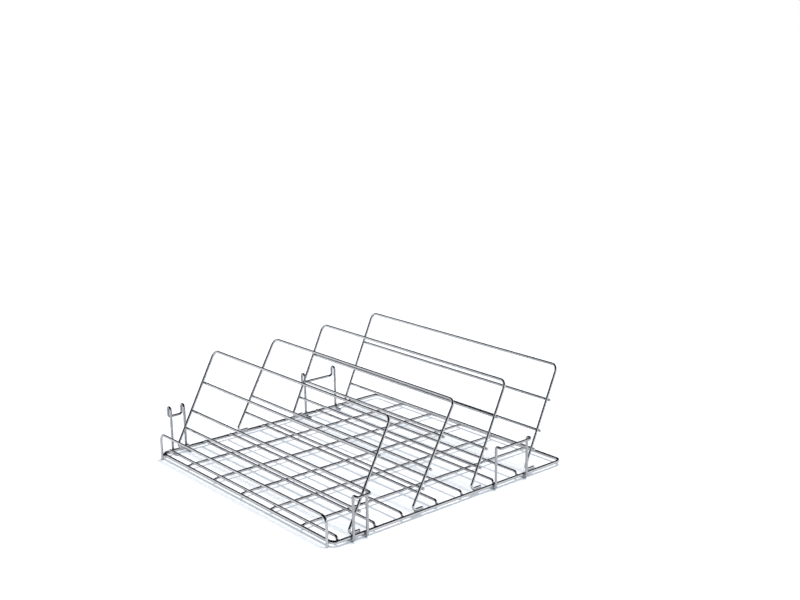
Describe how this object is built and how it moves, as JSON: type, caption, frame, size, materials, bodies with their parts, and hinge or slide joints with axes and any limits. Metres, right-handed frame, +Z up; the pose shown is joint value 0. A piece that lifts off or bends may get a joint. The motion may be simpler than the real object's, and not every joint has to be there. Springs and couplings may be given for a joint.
{
  "type": "instrument cassette rack",
  "caption": "Welded stainless steel wire rack with a flat gridded base, leaning divider frames, a low front rail, side hooks and side rests.",
  "frame": {"origin": "on the surface that the rack stands on, under the middle of its bounding box", "axes": "+X to the right along the front rail, +Y from the front rail to the back, the way that the divider frames lean, +Z up"},
  "size_m": [0.4709, 0.4472, 0.1616],
  "materials": {
    "ring_steel": "electropolished stainless steel wire",
    "long_wire_steel": "electropolished stainless steel wire",
    "cross_wire_steel": "electropolished stainless steel wire",
    "frame_steel": "electropolished stainless steel wire",
    "rung_steel": "electropolished stainless steel wire",
    "rail_steel": "electropolished stainless steel wire",
    "bracket_steel": "electropolished stainless steel wire"
  },
  "bodies": {
    "root": {"base_ring": "ring_steel", "cross_wire_1": "cross_wire_steel", "cross_wire_2": "cross_wire_steel", "cross_wire_3": "cross_wire_steel", "cross_wire_4": "cross_wire_steel", "cross_wire_5": "cross_wire_steel", "cross_wire_6": "cross_wire_steel", "cross_wire_7": "cross_wire_steel", "divider_frame_1": "frame_steel", "divider_frame_1_high_rung": "rung_steel", "divider_frame_1_low_rung": "rung_steel", "divider_frame_1_middle_rung": "rung_steel", "divider_frame_2": "frame_steel", "divider_frame_2_high_rung": "rung_steel", "divider_frame_2_low_rung": "rung_steel", "divider_frame_2_middle_rung": "rung_steel", "divider_frame_3": "frame_steel", "divider_frame_3_high_rung": "rung_steel", "divider_frame_3_low_rung": "rung_steel", "divider_frame_3_middle_rung": "rung_steel", "divider_frame_4": "frame_steel", "divider_frame_4_high_rung": "rung_steel", "divider_frame_4_low_rung": "rung_steel", "divider_frame_4_middle_rung": "rung_steel", "front_rail": "rail_steel", "hook_bracket_back_left": "bracket_steel", "hook_bracket_front_left": "bracket_steel", "long_wire_1": "long_wire_steel", "long_wire_2": "long_wire_steel", "long_wire_3": "long_wire_steel", "long_wire_4": "long_wire_steel", "long_wire_5": "long_wire_steel", "rest_bracket_back_right": "bracket_steel", "rest_bracket_front_right": "bracket_steel"}
  },
  "joints": []
}
